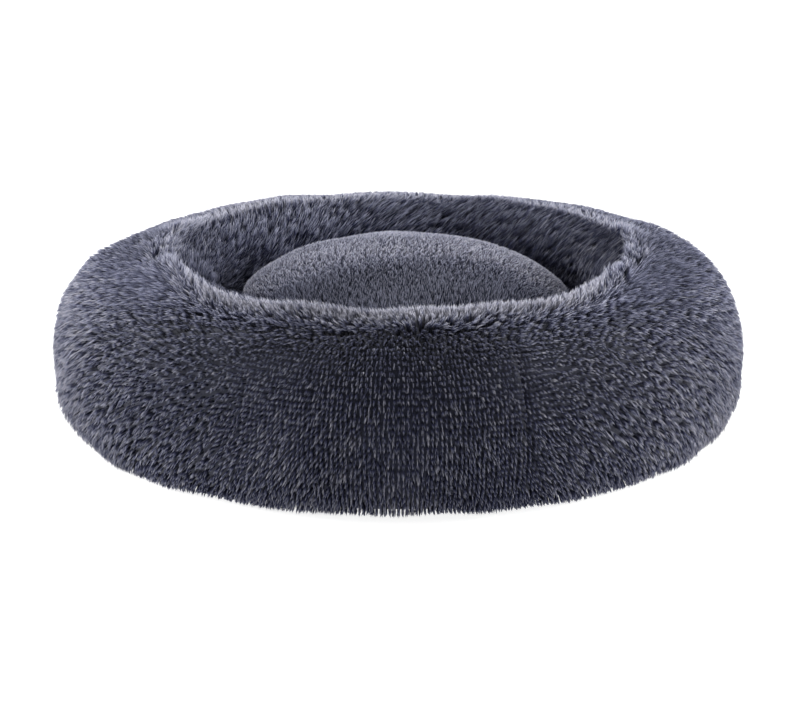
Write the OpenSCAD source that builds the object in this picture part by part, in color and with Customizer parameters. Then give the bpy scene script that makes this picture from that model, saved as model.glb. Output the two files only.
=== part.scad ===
// Round bolster bed for a pet: a stuffed ring, a loose cushion in its well, and a zipped base.
// The floor is z = 0, the centre of the ring is x = y = 0, and the front is -Y.

/* [Ring] */
// Outer diameter of the ring over its pile
bed_d = 696; // [500:1:1000]
// Height of the ring's crest above the floor
bed_h = 178; // [140:1:260]
// Width of the ring at its widest, from the outer bulge to the waist of the well
ring_w = 172; // [140:1:190]
// Distance from the outer bulge in to the crest
crest_inset = 102; // [80:1:110]
// Distance from the outer bulge in to the base seam
foot_inset = 58; // [30:1:65]
// Height of the outer bulge
bulge_z = 78; // [60:1:95]
// Distance from the waist of the well out to the well seam
well_undercut = 27; // [15:1:35]
// Height of the waist of the well
waist_z = 85; // [60:1:100]
// Height of the lower edge of the inner wall
well_seam_z = 12; // [9:0.5:14]
// Angle of the front seam between the two ring covers, from +X
seam_angle = -70; // [-80:1:-40]

/* [Textiles] */
// Thickness of the fur panels: backing and standing pile
fur_t = 10; // [6:0.5:14]
// Thickness of the cushion's panels
cushion_fur_t = 8; // [5:0.5:12]
// Thickness of the non-woven liner
liner_t = 0.8; // [0.4:0.1:1.5]
// Thickness of the base panels
base_t = 0.8; // [0.5:0.1:1.5]
// Thickness of the well floor panel
well_floor_t = 1; // [0.6:0.1:2]
// Thickness of the wadding under the well floor
wadding_t = 4; // [2:0.5:6]
// Distance from the edge of the well floor in to the edge of the wadding
wadding_inset = 3; // [1:0.5:10]
// Width of the gap at a sewn joint between two panels
seam_gap = 0.4; // [0.2:0.1:1]
// Clearance between layers that lie on each other
layer_gap = 0.5; // [0.3:0.1:1]

/* [Cushion] */
// Height of the cushion from its underside to its crown
cushion_h = 165; // [110:1:190]
// Height of the cushion's seam above its underside
cushion_seam_h = 110; // [60:1:120]
// Radius of the flat on the cushion's underside
cushion_flat_r = 96; // [60:1:110]
// Gap between the cushion and the waist of the well
cushion_gap = 7; // [2:0.5:15]
// Thickness of the binding in the cushion's seam
cushion_binding_t = 1.6; // [1:0.1:3]

/* [Base] */
// Height of the anti-slip dots
dot_h = 0.8; // [0.5:0.1:1.5]
// Diameter of an anti-slip dot
dot_d = 7; // [4:0.5:12]
// Number of dots in each of the two rows
dot_count = 24; // [12:1:36]
// Height of the middle of the base above the floor
base_rise = 9; // [8.5:0.5:12]
// Width of the slope between the raised middle and the foot of the base
base_slope_w = 12; // [8:1:20]
// Distance from the well seam in to the slope
base_slope_inset = 14; // [10:1:20]
// Width of the binding tape over a seam
binding_w = 6; // [4:0.5:8]
// Thickness of the binding tape
binding_t = 1; // [0.5:0.1:2]
// Length of the care label
label_l = 45; // [30:1:60]
// Width of the care label
label_w = 25; // [15:1:30]
// Thickness of the care label
label_t = 0.3; // [0.2:0.1:0.6]

/* [Zip] */
// Distance from each end of the zip to the slope of the base
zip_margin = 9; // [5:1:20]
// Width of one zip tape
tape_w = 14; // [10:0.5:20]
// Thickness of the zip tape
tape_t = 0.5; // [0.3:0.1:0.8]
// Diameter of the coil
coil_d = 2.5; // [2:0.1:3.5]
// Gap between the two coils, where the slider's post runs
coil_gap = 1.6; // [1.4:0.1:2.4]
// Gap between the slider and the edges of the base panels
slot_gap = 1; // [0.5:0.1:3]
// Length of the slider
slider_l = 12; // [9:0.5:16]
// Thickness of the slider's plates
slider_plate_t = 1.2; // [0.8:0.1:1.6]
// Clearance between the slider and the coils and tapes
slider_gap = 0.4; // [0.3:0.05:0.6]
// Clearance between the slider's post and the coils
post_gap = 0.3; // [0.3:0.05:0.5]
// Thickness of the slider's side rails
rail_t = 0.7; // [0.5:0.1:1]
// Height of the slider's side rails
rail_h = 1.4; // [1:0.1:2]
// Thickness of the slider's bail
bail_t = 1.8; // [1.4:0.1:2.4]
// Wall around the eye of the bail
bail_wall = 1.1; // [0.8:0.1:1.4]
// Length of the pull from its pin to its tip
pull_l = 26; // [18:1:40]
// Width of the pull
pull_w = 7; // [6:0.5:10]
// Thickness of the pull
pull_t = 1.2; // [1:0.1:1.6]
// Gap between the pull's arms and the bail
pull_arm_gap = 0.5; // [0.3:0.1:0.8]
// Diameter of the pull's pin
pin_d = 1.6; // [1.2:0.1:2]
// Radial clearance of the pin in the bail's eye
pin_clearance = 0.1; // [0.1:0.05:0.3]
// Length of an end stop
stop_l = 3; // [2:0.5:5]
// Distance between the slider at rest and the end stop
stop_gap = 2; // [1:0.5:5]

/* [Hidden] */

$fn = 96;
// Straight steps in each quarter of a section's outline
quarter_steps = 8;
// How square the cushion's dome is: 2 is an ellipse and less is more pointed
dome_power = 1.6;
// Reach of a cutting solid past what it cuts
past = 1;

// Ring
bed_r = bed_d / 2;
crest_r = bed_r - crest_inset;
foot_r = bed_r - foot_inset;
well_r = bed_r - ring_w;
well_foot_r = well_r + well_undercut;
base_top_z = dot_h + base_t;
cover_foot_z = base_top_z + layer_gap / 2;
liner_foot_z = cover_foot_z + binding_t + layer_gap;

// Base
base_seam_overlap = 2;
base_r = foot_r - base_seam_overlap;
slope_out_r = well_foot_r - base_slope_inset;
slope_in_r = slope_out_r - base_slope_w;

// Zip, across the middle of the base
raised_top_z = base_rise + base_t;
tape_z = raised_top_z + 0.2;
coil_y = (coil_gap + coil_d) / 2;
coil_z = tape_z - coil_d / 2 - 0.05;
zip_half_l = slope_in_r - zip_margin;
coil_end_x = zip_half_l - stop_l - 2 * seam_gap;

// Slider, whose foot is the underside of its lower plate
rail_y = coil_gap / 2 + coil_d + slider_gap;
slider_tail_w = rail_y + rail_t;
slider_mouth_w = slider_tail_w + 0.3;
slot_half_w = slider_mouth_w + slot_gap;
upper_plate_z = tape_z + tape_t + slider_gap;
lower_plate_top_z = coil_z - coil_d / 2 - slider_gap;
slider_foot_z = lower_plate_top_z - slider_plate_t;
slider_rest_x = -(coil_end_x - stop_gap - slider_l / 2);

// Bail and pull
eye_r = pin_d / 2 + pin_clearance;
bail_r = eye_r + bail_wall;
pin_z = slider_foot_z - eye_r - bail_wall / 2;
pull_slot_w = bail_t + 2 * pull_arm_gap;
pull_slot_l = bail_r + pull_arm_gap + bail_wall / 2;

// Well floor, upwards from the zip
wadding_z = upper_plate_z + slider_plate_t + layer_gap;
well_floor_z = wadding_z + wadding_t + layer_gap;
cushion_z = well_floor_z + well_floor_t + layer_gap;
well_floor_r = wall_r(well_floor_z + well_floor_t) - layer_gap;

// Cushion
cushion_r = well_r - cushion_gap;
cushion_seam_z = cushion_z + cushion_seam_h;
dome_h = cushion_h - cushion_seam_h;

// Radius of the well's wall at a height under its waist
function wall_r(z) =
    well_foot_r - well_undercut * sqrt(1 - pow((waist_z - z) / (waist_z - well_seam_z), 2));

// Points along an elliptical arc about [cx, cz], from angle a to angle b
function arc(cx, cz, rx, rz, a, b, steps = quarter_steps) =
    [for (i = [0 : steps]) let (t = a + (b - a) * i / steps) [cx + rx * cos(t), cz + rz * sin(t)]];

// Points along a quarter of a superellipse, from its rim [rx, cz] to its crown [0, cz + rz]
function dome(rx, cz, rz, steps = 2 * quarter_steps) =
    [for (i = [0 : steps]) let (t = 90 * i / steps)
        [rx * pow(cos(t), 2 / dome_power), cz + rz * pow(sin(t), 2 / dome_power)]];

function reversed(points) = [for (i = [len(points) - 1 : -1 : 0]) points[i]];

// Outline of the ring's section, a distance in from the pile, from the base seam over the crest
// to the well seam
function ring_arch(inset, foot_z) = concat(
    arc(foot_r - inset, bulge_z, foot_inset, bulge_z - foot_z, -90, 0),
    arc(crest_r, bulge_z, crest_inset - inset, bed_h - bulge_z - inset, 0, 90),
    arc(crest_r, waist_z, crest_r - well_r - inset, bed_h - waist_z - inset, 90, 180),
    arc(well_foot_r + inset, waist_z, well_undercut, waist_z - well_seam_z, 180, 270)
);

// The same outline closed along the base, for what fills the ring
module ring_section(inset, foot_z) {
    polygon(concat(ring_arch(inset, foot_z), [[well_foot_r + inset, foot_z]]));
}

module ring_cover(from_angle) {
    half_gap_angle = seam_gap / crest_r * 90 / PI;
    rotate([0, 0, from_angle + half_gap_angle])
        rotate_extrude(angle = 180 - 2 * half_gap_angle)
            polygon(concat(ring_arch(0, cover_foot_z), reversed(ring_arch(fur_t, cover_foot_z))));
}

module left_ring_cover() {
    color("darkslategray") ring_cover(seam_angle + 180);
}

module right_ring_cover() {
    color("slategray") ring_cover(seam_angle);
}

module ring_liner() {
    outer = fur_t + layer_gap;
    color("whitesmoke")
        rotate_extrude()
            difference() {
                ring_section(outer, liner_foot_z);
                ring_section(outer + liner_t, liner_foot_z + liner_t);
            }
}

module ring_fill() {
    inset = fur_t + layer_gap + liner_t + layer_gap;
    color("white") rotate_extrude() ring_section(inset, liner_foot_z + liner_t + layer_gap);
}

module well_floor_panel() {
    color("dimgray") translate([0, 0, well_floor_z]) cylinder(r = well_floor_r, h = well_floor_t);
}

module base_wadding() {
    color("ivory")
        translate([0, 0, wadding_z]) cylinder(r = well_floor_r - wadding_inset, h = wadding_t);
}

// One half of the base, behind the zip, with room for the coils and the slider
module base_half() {
    difference() {
        rotate_extrude(angle = 180)
            polygon([
                [0, base_rise], [slope_in_r, base_rise], [slope_out_r, dot_h], [base_r, dot_h],
                [base_r, base_top_z], [slope_out_r, base_top_z], [slope_in_r, raised_top_z],
                [0, raised_top_z],
            ]);
        translate([-base_r - past, -past, 0])
            cube([2 * (base_r + past), past + seam_gap / 2, raised_top_z + past]);
        translate([-zip_half_l, -past, base_rise - past])
            cube([2 * zip_half_l, past + slot_half_w, base_t + 2 * past]);
    }
}

module front_base_panel() {
    color("black") mirror([0, 1, 0]) base_half();
}

module rear_base_panel() {
    color("black") base_half();
}

module flat_ring(outer_r, inner_r, h) {
    difference() {
        cylinder(r = outer_r, h = h);
        translate([0, 0, -past]) cylinder(r = inner_r, h = h + 2 * past);
    }
}

// Lies flat on the base, inside the foot of the cover
module base_seam_binding() {
    outer = foot_r - fur_t - layer_gap;
    color("midnightblue")
        translate([0, 0, cover_foot_z]) flat_ring(outer, outer - binding_w, binding_t);
}

// Hangs under the seam of the inner wall and the well floor
module well_seam_binding() {
    outer = well_foot_r - layer_gap;
    top = well_seam_z - layer_gap;
    color("midnightblue")
        translate([0, 0, top - binding_w]) flat_ring(outer, outer - binding_t, binding_w);
}

// Two rows of dots, a quarter of the foot's width in from each of its edges
module anti_slip_dots() {
    foot_w = base_r - slope_out_r;
    color("dimgray")
        for (row = [0, 1])
            for (i = [0 : dot_count - 1])
                rotate([0, 0, (i + row / 2) * 360 / dot_count])
                    translate([slope_out_r + foot_w * (0.25 + row / 2), 0, 0])
                        cylinder(d = dot_d, h = dot_h);
}

module care_label() {
    color("white")
        translate([zip_half_l / 3, -slot_half_w - 2 * label_w, base_rise - 0.1 - label_t])
            cube([label_l, label_w, label_t]);
}

module zip_tape() {
    color("midnightblue")
        translate([-zip_half_l - tape_w / 2, coil_gap / 2, tape_z])
            cube([2 * zip_half_l + tape_w, tape_w, tape_t]);
}

module front_zip_tape() {
    mirror([0, 1, 0]) zip_tape();
}

module rear_zip_tape() {
    zip_tape();
}

module zip_coil() {
    color("black")
        translate([-coil_end_x, coil_y, coil_z])
            rotate([0, 90, 0]) cylinder(d = coil_d, h = 2 * coil_end_x, $fn = 32);
}

module front_zip_coil() {
    mirror([0, 1, 0]) zip_coil();
}

module rear_zip_coil() {
    zip_coil();
}

// A clamp across both coils at each end of the zip
module zip_end_stops() {
    half_w = coil_gap / 2 + coil_d;
    color("silver")
        for (side = [0, 1])
            mirror([side, 0, 0])
                translate([coil_end_x + seam_gap, -half_w, coil_z - coil_d / 2])
                    cube([stop_l, 2 * half_w, coil_d]);
}

// One plate of the slider: bevelled corners, and a little wider at its mouth (+X) than its tail
module slider_plate() {
    half_l = slider_l / 2;
    bevel = 1.2;
    linear_extrude(slider_plate_t)
        polygon([
            [-half_l, -slider_tail_w + bevel], [-half_l + bevel, -slider_tail_w],
            [half_l - bevel, -slider_mouth_w], [half_l, -slider_mouth_w + bevel],
            [half_l, slider_mouth_w - bevel], [half_l - bevel, slider_mouth_w],
            [-half_l + bevel, slider_tail_w], [-half_l, slider_tail_w - bevel],
        ]);
}

// Joins the plates between the coils, near the mouth
module slider_post() {
    post_l = 2.5;
    post_w = coil_gap - 2 * post_gap;
    sink = slider_plate_t / 2;
    translate([slider_l / 2 - post_l - 1.5, -post_w / 2, lower_plate_top_z - sink])
        cube([post_l, post_w, upper_plate_z - lower_plate_top_z + 2 * sink]);
}

// Guide the coils from outside, and stop short of the bevels
module slider_rails() {
    end_gap = 1.6;
    sink = slider_plate_t / 2;
    for (side = [0, 1])
        mirror([0, side, 0])
            translate([-slider_l / 2 + end_gap, rail_y, lower_plate_top_z - sink])
                cube([slider_l - 2 * end_gap, rail_t, rail_h + sink]);
}

// Hangs under the lower plate and holds the pull's pin in a round eye
module bail() {
    sink = slider_plate_t / 2;
    translate([0, bail_t / 2, pin_z])
        rotate([90, 0, 0])
            linear_extrude(bail_t)
                difference() {
                    union() {
                        circle(r = bail_r, $fn = 48);
                        translate([-bail_r, 0]) square([2 * bail_r, slider_foot_z - pin_z + sink]);
                    }
                    circle(r = eye_r, $fn = 48);
                }
}

module zip_slider() {
    color("gray")
        translate([slider_rest_x, 0, 0]) {
            translate([0, 0, upper_plate_z]) slider_plate();
            translate([0, 0, slider_foot_z]) slider_plate();
            slider_post();
            slider_rails();
            bail();
        }
}

// A flat tab with a hole near its tip, a slot that straddles the bail, and a pin across the slot
module zip_pull() {
    half_w = pull_w / 2;
    arm_back = pin_d / 2;
    tip_x = pull_l - half_w;
    color("gray")
        translate([slider_rest_x, 0, pin_z]) {
            rotate([90, 0, 0])
                cylinder(d = pin_d, h = pull_slot_w + pull_arm_gap, center = true, $fn = 48);
            translate([0, 0, -pull_t / 2])
                linear_extrude(pull_t)
                    difference() {
                        union() {
                            translate([-arm_back, -half_w]) square([tip_x + arm_back, pull_w]);
                            translate([tip_x, 0]) circle(d = pull_w, $fn = 48);
                        }
                        translate([-arm_back - past, -pull_slot_w / 2])
                            square([pull_slot_l + arm_back + past, pull_slot_w]);
                        translate([tip_x, 0]) circle(d = pull_w / 2, $fn = 48);
                    }
        }
}

// Outline of the cushion's upper half, a distance in from the pile, from its seam to its crown
function cushion_top(inset, seam_z) = dome(cushion_r - inset, seam_z, dome_h - inset);

// Outline of its lower half, from the middle of its underside to its seam
function cushion_bottom(inset, seam_z) = concat(
    [[0, cushion_z + inset]],
    arc(cushion_flat_r, seam_z, cushion_r - cushion_flat_r - inset,
        seam_z - cushion_z - inset, -90, 0)
);

module cushion_top_cover() {
    seam_z = cushion_seam_z + cushion_binding_t / 2 + seam_gap / 2;
    color("lightslategray")
        rotate_extrude()
            polygon(concat(cushion_top(0, seam_z), reversed(cushion_top(cushion_fur_t, seam_z))));
}

module cushion_bottom_cover() {
    seam_z = cushion_seam_z - cushion_binding_t / 2 - seam_gap / 2;
    color("dimgray")
        rotate_extrude()
            polygon(concat(
                cushion_bottom(0, seam_z), reversed(cushion_bottom(cushion_fur_t, seam_z))));
}

module cushion_seam_binding() {
    color("midnightblue")
        translate([0, 0, cushion_seam_z - cushion_binding_t / 2])
            flat_ring(cushion_r, cushion_r - cushion_fur_t, cushion_binding_t);
}

module cushion_fill() {
    inset = cushion_fur_t + layer_gap;
    color("white")
        rotate_extrude()
            polygon(concat(
                cushion_bottom(inset, cushion_seam_z), cushion_top(inset, cushion_seam_z)));
}

left_ring_cover();
right_ring_cover();
ring_liner();
ring_fill();
well_floor_panel();
base_wadding();
front_base_panel();
rear_base_panel();
base_seam_binding();
well_seam_binding();
anti_slip_dots();
care_label();
front_zip_tape();
rear_zip_tape();
front_zip_coil();
rear_zip_coil();
zip_end_stops();
zip_slider();
zip_pull();
cushion_top_cover();
cushion_bottom_cover();
cushion_seam_binding();
cushion_fill();
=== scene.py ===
import math

import bmesh
import bpy
import numpy as np
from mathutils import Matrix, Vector


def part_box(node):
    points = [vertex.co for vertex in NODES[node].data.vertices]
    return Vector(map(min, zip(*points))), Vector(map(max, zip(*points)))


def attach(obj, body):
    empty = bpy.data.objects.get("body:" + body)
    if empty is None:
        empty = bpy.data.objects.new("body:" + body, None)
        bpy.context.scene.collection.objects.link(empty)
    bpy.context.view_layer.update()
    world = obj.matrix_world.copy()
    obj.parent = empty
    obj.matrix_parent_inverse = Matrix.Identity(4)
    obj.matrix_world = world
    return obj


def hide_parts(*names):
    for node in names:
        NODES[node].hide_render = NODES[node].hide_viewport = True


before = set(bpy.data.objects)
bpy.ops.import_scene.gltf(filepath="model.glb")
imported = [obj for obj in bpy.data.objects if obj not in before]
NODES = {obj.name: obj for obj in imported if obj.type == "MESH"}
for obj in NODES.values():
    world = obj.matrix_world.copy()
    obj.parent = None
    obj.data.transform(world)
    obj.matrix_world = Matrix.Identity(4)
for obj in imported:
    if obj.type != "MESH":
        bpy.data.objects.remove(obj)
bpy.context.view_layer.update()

TAU = 2 * math.pi
RNG = np.random.default_rng(20260)

# ---------------------------------------------------------------- camera

AIM = Vector((0.0, 0.0, 0.0669))
CAMERA_DISTANCE = 3.0
CAMERA_ELEVATION = math.radians(16.25)
camera_data = bpy.data.cameras.new("camera")
camera = bpy.data.objects.new("camera", camera_data)
bpy.context.scene.collection.objects.link(camera)
camera_data.sensor_width = 36.0
camera_data.lens = 132.1
camera_data.shift_x = 0.00175
camera_data.clip_end = 60.0
camera.location = AIM + CAMERA_DISTANCE * Vector(
    (0.0, -math.cos(CAMERA_ELEVATION), math.sin(CAMERA_ELEVATION)))
camera.rotation_euler = (AIM - camera.location).to_track_quat("-Z", "Y").to_euler()
bpy.context.scene.camera = camera

# ---------------------------------------------------------------- small maths


def smooth(a, b, x):
    """0 before a, 1 after b, and a soft step between them."""
    t = np.clip((np.asarray(x, float) - a) / (b - a), 0.0, 1.0)
    return t * t * (3 - 2 * t)


def unit(v):
    return v / np.maximum(np.linalg.norm(v, axis=-1, keepdims=True), 1e-12)


def waves(seed, count, low, high):
    """A smooth noise over (x, y): sines with random directions and phases, about -1 to 1."""
    r = np.random.default_rng(seed)
    k = r.uniform(low, high, count)
    a = r.uniform(0, TAU, count)
    p = r.uniform(0, TAU, count)
    kx, ky = k * np.cos(a), k * np.sin(a)

    def value(x, y):
        s = sum(np.sin(kx[i] * x + ky[i] * y + p[i]) for i in range(count))
        return s / math.sqrt(count)

    return value


def quarter(r0, z0, r1, z1, power, upright_first, steps=160):
    """A superellipse quarter from (r0, z0) to (r1, z1)."""
    a = np.linspace(0, math.pi / 2, steps)
    s, c = np.sin(a) ** (2 / power), np.cos(a) ** (2 / power)
    if upright_first:
        return np.stack([r0 + (r1 - r0) * (1 - c), z0 + (z1 - z0) * s], 1)
    return np.stack([r0 + (r1 - r0) * s, z0 + (z1 - z0) * (1 - c)], 1)


def even(points, count):
    """The polyline with count points, evenly spaced along it, and its length."""
    d = np.r_[0, np.cumsum(np.linalg.norm(np.diff(points, axis=0), axis=1))]
    t = np.linspace(0, d[-1], count)
    return np.stack([np.interp(t, d, points[:, i]) for i in range(points.shape[1])], 1), d[-1]


# ---------------------------------------------------------------- the soft forms

# the ring, to the tips of its pile: radius and height of foot, bulge, crest, waist and well foot
FOOT_R, FOOT_Z = 0.312, 0.0018
BED_R, BULGE_Z = 0.3500, 0.078
CREST_R, BED_H = 0.246, 0.1785
WELL_R, WAIST_Z = 0.1775, 0.085
WELL_FOOT_R, WELL_FOOT_Z = 0.2025, 0.014
PILE = 0.0085            # how far the fabric lies below the tips
SEAMS = (math.radians(-70), math.radians(110))

# the cushion, the same way: top, seam and foot
CUSHION_TOP = 0.1865
CUSHION_R, CUSHION_SEAM_Z = 0.168, 0.1286
CUSHION_FOOT_R, CUSHION_FOOT_Z = 0.098, 0.0195
CROWN_BLUNT = 0.02       # how wide the middle of the top is rounded off
CUSHION_PILE = 0.0085
CUSHION_SHIFT = (0.007, 0.0)

AROUND = 288             # grid columns round each form
RING_ROWS, DOME_ROWS = 90, 84
PROFILE_POINTS = 90      # where lengths along a profile are looked up


def ring_profile():
    """The ring's outside from its outer foot over the crest to its foot in the well."""
    parts = [quarter(FOOT_R, FOOT_Z, BED_R, BULGE_Z, 2.3, False),
             quarter(BED_R, BULGE_Z, CREST_R, BED_H, 2.15, True)[1:],
             quarter(CREST_R, BED_H, WELL_R, WAIST_Z, 2.2, False)[1:],
             quarter(WELL_R, WAIST_Z, WELL_FOOT_R, WELL_FOOT_Z, 2.0, True)[1:]]
    return np.concatenate(parts)


def dome_profile():
    """The cushion's outside from the middle of its top to the middle of its underside."""
    crown = quarter(1e-6, CUSHION_TOP, CUSHION_R, CUSHION_SEAM_Z, 1.65, False)
    blunt = np.sqrt(crown[:, 0] ** 2 + CROWN_BLUNT ** 2) - CROWN_BLUNT
    crown[:, 1] = np.interp(blunt * CUSHION_R / blunt[-1], crown[:, 0], crown[:, 1])
    parts = [crown,
             quarter(CUSHION_R, CUSHION_SEAM_Z, CUSHION_FOOT_R, CUSHION_FOOT_Z, 2.2, True)[1:],
             np.array([[1e-6, CUSHION_FOOT_Z]])]
    return np.concatenate(parts)


class Skin:
    """A fabric surface as a grid, around by along, with positions and normals."""

    def __init__(self, profile, count, inset, lumps, centre=(0.0, 0.0)):
        pts, self.length = even(profile, count)
        d = np.gradient(pts, axis=0)
        nrm = unit(np.stack([-d[:, 1], d[:, 0]], 1) * self.side(pts, d))
        phi = np.arange(AROUND) / AROUND * TAU
        along = np.linspace(0, self.length, count)
        f, s = np.meshgrid(phi, along, indexing="ij")
        depth = -inset + lumps(f, s, pts[None, :, 0])
        r = pts[None, :, 0] + nrm[None, :, 0] * depth
        z = pts[None, :, 1] + nrm[None, :, 1] * depth
        r = np.maximum(r, 0.0)
        self.P = np.stack([centre[0] + r * np.cos(f), centre[1] + r * np.sin(f),
                           np.broadcast_to(z, f.shape)], -1)
        self.count = count
        self.update()

    @staticmethod
    def side(pts, d):
        """+1 or -1, so that normals point away from the middle of the form."""
        n = np.stack([-d[:, 1], d[:, 0]], 1)
        mid = (pts.min(0) + pts.max(0)) / 2
        return 1.0 if (n * (pts - mid)).sum() > 0 else -1.0

    def update(self):
        du = np.roll(self.P, -1, 0) - np.roll(self.P, 1, 0)
        dv = np.gradient(self.P, axis=1)
        n = np.cross(du, dv)
        bad = np.linalg.norm(n, axis=-1) < 1e-12     # a pole, where a whole column is one point
        n = unit(n)
        if bad.any():
            n[bad] = 0.0
            mean = n.sum(0)
            for j in range(self.count):
                if bad[:, j].any():
                    k = j + 1 if j + 1 < self.count and not bad[:, j + 1].any() else j - 1
                    n[:, j] = unit(mean[k])
        self.N = n * self.orient(n)

    def orient(self, n):
        """+1 or -1, so that the normals point away from the ring's core or the cushion's middle."""
        ring_mid = self.P.mean(1, keepdims=True)
        out = ((self.P - ring_mid) * n).sum()
        starts_at_pole = abs(self.P[..., 0]).min() < 1e-3 and self.P[0, 0, 2] > 0.1
        if starts_at_pole:
            out = ((self.P - self.P.mean((0, 1))) * n).sum()
        return 1.0 if out > 0 else -1.0

    def at(self, phi, s):
        """Position, normal, and the two tangents at angle phi and length s, for arrays."""
        u = (phi / TAU % 1.0) * AROUND
        v = np.clip(s / self.length, 0, 1) * (self.count - 1)
        i, j = np.floor(u).astype(int) % AROUND, np.minimum(v.astype(int), self.count - 2)
        a, b = (u - np.floor(u))[:, None], (v - j)[:, None]
        i2 = (i + 1) % AROUND

        def mix(g):
            return (g[i, j] * (1 - a) * (1 - b) + g[i2, j] * a * (1 - b)
                    + g[i, j + 1] * (1 - a) * b + g[i2, j + 1] * a * b)

        n = unit(mix(self.N))
        e = np.stack([-np.sin(phi), np.cos(phi), np.zeros_like(phi)], 1)
        e = unit(e - n * (e * n).sum(1, keepdims=True))
        return mix(self.P), n, e, np.cross(n, e)


def link(name, mesh):
    o = bpy.data.objects.new(name, mesh)
    bpy.context.scene.collection.objects.link(o)
    return o


def make_mesh(name, verts, loops, starts):
    """A smooth-shaded mesh from its points, its faces' corners and where each face starts."""
    m = bpy.data.meshes.new(name)
    m.vertices.add(len(verts))
    m.vertices.foreach_set("co", np.ascontiguousarray(verts, np.float32).ravel())
    m.loops.add(len(loops))
    m.loops.foreach_set("vertex_index", np.ascontiguousarray(loops, np.int32))
    m.polygons.add(len(starts))
    m.polygons.foreach_set("loop_start", np.ascontiguousarray(starts, np.int32))
    m.polygons.foreach_set("use_smooth", np.ones(len(starts), bool))
    m.update(calc_edges=True)
    return m


def quad_mesh(name, verts, quads):
    return make_mesh(name, verts.reshape(-1, 3), quads.ravel(), np.arange(0, quads.size, 4))


def closed_quads(n, m):
    """The faces of a grid of n by m points that closes on itself both ways."""
    a = np.arange(n * m).reshape(n, m)
    b = np.roll(a, -1, 0)
    return np.stack([a, b, np.roll(b, -1, 1), np.roll(a, -1, 1)], -1).reshape(-1, 4)


def outward(mesh, weld=False):
    """Turns the faces outwards. weld first merges points that meet, such as those at a pole."""
    bm = bmesh.new()
    bm.from_mesh(mesh)
    if weld:
        bmesh.ops.remove_doubles(bm, verts=bm.verts, dist=1e-5)
        bmesh.ops.dissolve_degenerate(bm, edges=bm.edges, dist=1e-6)
    bmesh.ops.recalc_face_normals(bm, faces=bm.faces)
    bm.to_mesh(mesh)
    bm.free()


def dress(piece, material, body, cad=None):
    """Gives a piece its material and body, and hides the CAD node it stands for."""
    piece.data.materials.append(material)
    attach(piece, body)
    if cad:
        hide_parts(cad)
    return piece


def bridge(rows, count):
    """Rows of points straight across from a grid's last row to its first."""
    t = np.linspace(0, 1, count)[1:-1][None, :, None]
    return rows[:, -1:] * (1 - t) + rows[:, :1] * t


def swell(skin, bottom, pressure, cap, frames=20):
    """Inflates the grid with Blender's cloth and writes the result back to it.
    bottom is extra rows that close the form under it; they and the skin's edges are pinned."""
    rows = np.concatenate([skin.P, bottom], 1) if bottom is not None else skin.P
    n, m = rows.shape[:2]
    idx = np.arange(n * m).reshape(n, m)
    a, b = idx, np.roll(idx, -1, 0)
    last = m if bottom is not None else m - 1
    cols = [(j, (j + 1) % m) for j in range(last)]
    quads = np.concatenate([np.stack([a[:, p], b[:, p], b[:, q], a[:, q]], 1) for p, q in cols])
    mesh = quad_mesh("sim", rows, quads)
    o = link("sim", mesh)
    if bottom is None:
        outward(mesh)
    pin = o.vertex_groups.new(name="pin")
    if bottom is not None:
        held = np.concatenate([idx[:, skin.P.shape[1] - 2:].ravel(), idx[:, :2].ravel()])
        pin.add([int(v) for v in held], 1.0, "REPLACE")
    cloth = o.modifiers.new("Cloth", "CLOTH")
    st = cloth.settings
    st.quality = 5
    st.mass = 0.25
    st.tension_stiffness = st.compression_stiffness = 12
    st.shear_stiffness = 6
    st.bending_stiffness = 0.6
    st.use_pressure = True
    st.uniform_pressure_force = pressure
    st.effector_weights.gravity = 0.0
    if bottom is not None:
        st.vertex_group_mass = "pin"
        st.pin_stiffness = 1.0
    cloth.collision_settings.use_collision = False
    cloth.point_cache.frame_start = 1
    cloth.point_cache.frame_end = frames
    scene = bpy.context.scene
    for f in range(1, frames + 1):
        scene.frame_set(f)
    ev = o.evaluated_get(bpy.context.evaluated_depsgraph_get())
    co = np.empty(n * m * 3, np.float32)
    ev.data.vertices.foreach_get("co", co)
    move = co.reshape(n, m, 3)[:, :skin.P.shape[1]] - skin.P
    size = np.linalg.norm(move, axis=-1, keepdims=True)
    move *= np.minimum(1.0, cap / np.maximum(size, 1e-9))
    skin.P = skin.P + move
    skin.update()
    scene.frame_set(1)
    bpy.data.objects.remove(o)
    bpy.data.meshes.remove(mesh)


def shell(name, P, N, thick, wrap):
    """A fabric sheet with a thickness, from a grid of points and normals."""
    n, m = P.shape[:2]
    inner = P - N * thick
    verts = np.concatenate([P.reshape(-1, 3), inner.reshape(-1, 3)])
    idx = np.arange(n * m).reshape(n, m)
    a = idx if wrap else idx[:-1]
    b = np.roll(idx, -1, 0) if wrap else idx[1:]
    top = np.stack([a[:, :-1], b[:, :-1], b[:, 1:], a[:, 1:]], -1).reshape(-1, 4)
    low = top[:, ::-1] + n * m
    sides = [np.stack([b[:, 0], a[:, 0], a[:, 0] + n * m, b[:, 0] + n * m], -1),
             np.stack([a[:, -1], b[:, -1], b[:, -1] + n * m, a[:, -1] + n * m], -1)]
    if not wrap:
        for row, flip in ((idx[0], False), (idx[-1], True)):
            s = np.stack([row[:-1], row[1:], row[1:] + n * m, row[:-1] + n * m], -1)
            sides.append(s[:, ::-1] if flip else s)
    quads = np.concatenate([top, low] + sides)
    mesh = quad_mesh(name, verts, quads)
    outward(mesh, weld=True)
    return link(name, mesh)


ring_lump_a = waves(11, 5, 1.0, 3.2)
ring_lump_b = waves(12, 6, 4.0, 9.0)
dome_lump = waves(21, 6, 8.0, 22.0)


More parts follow.
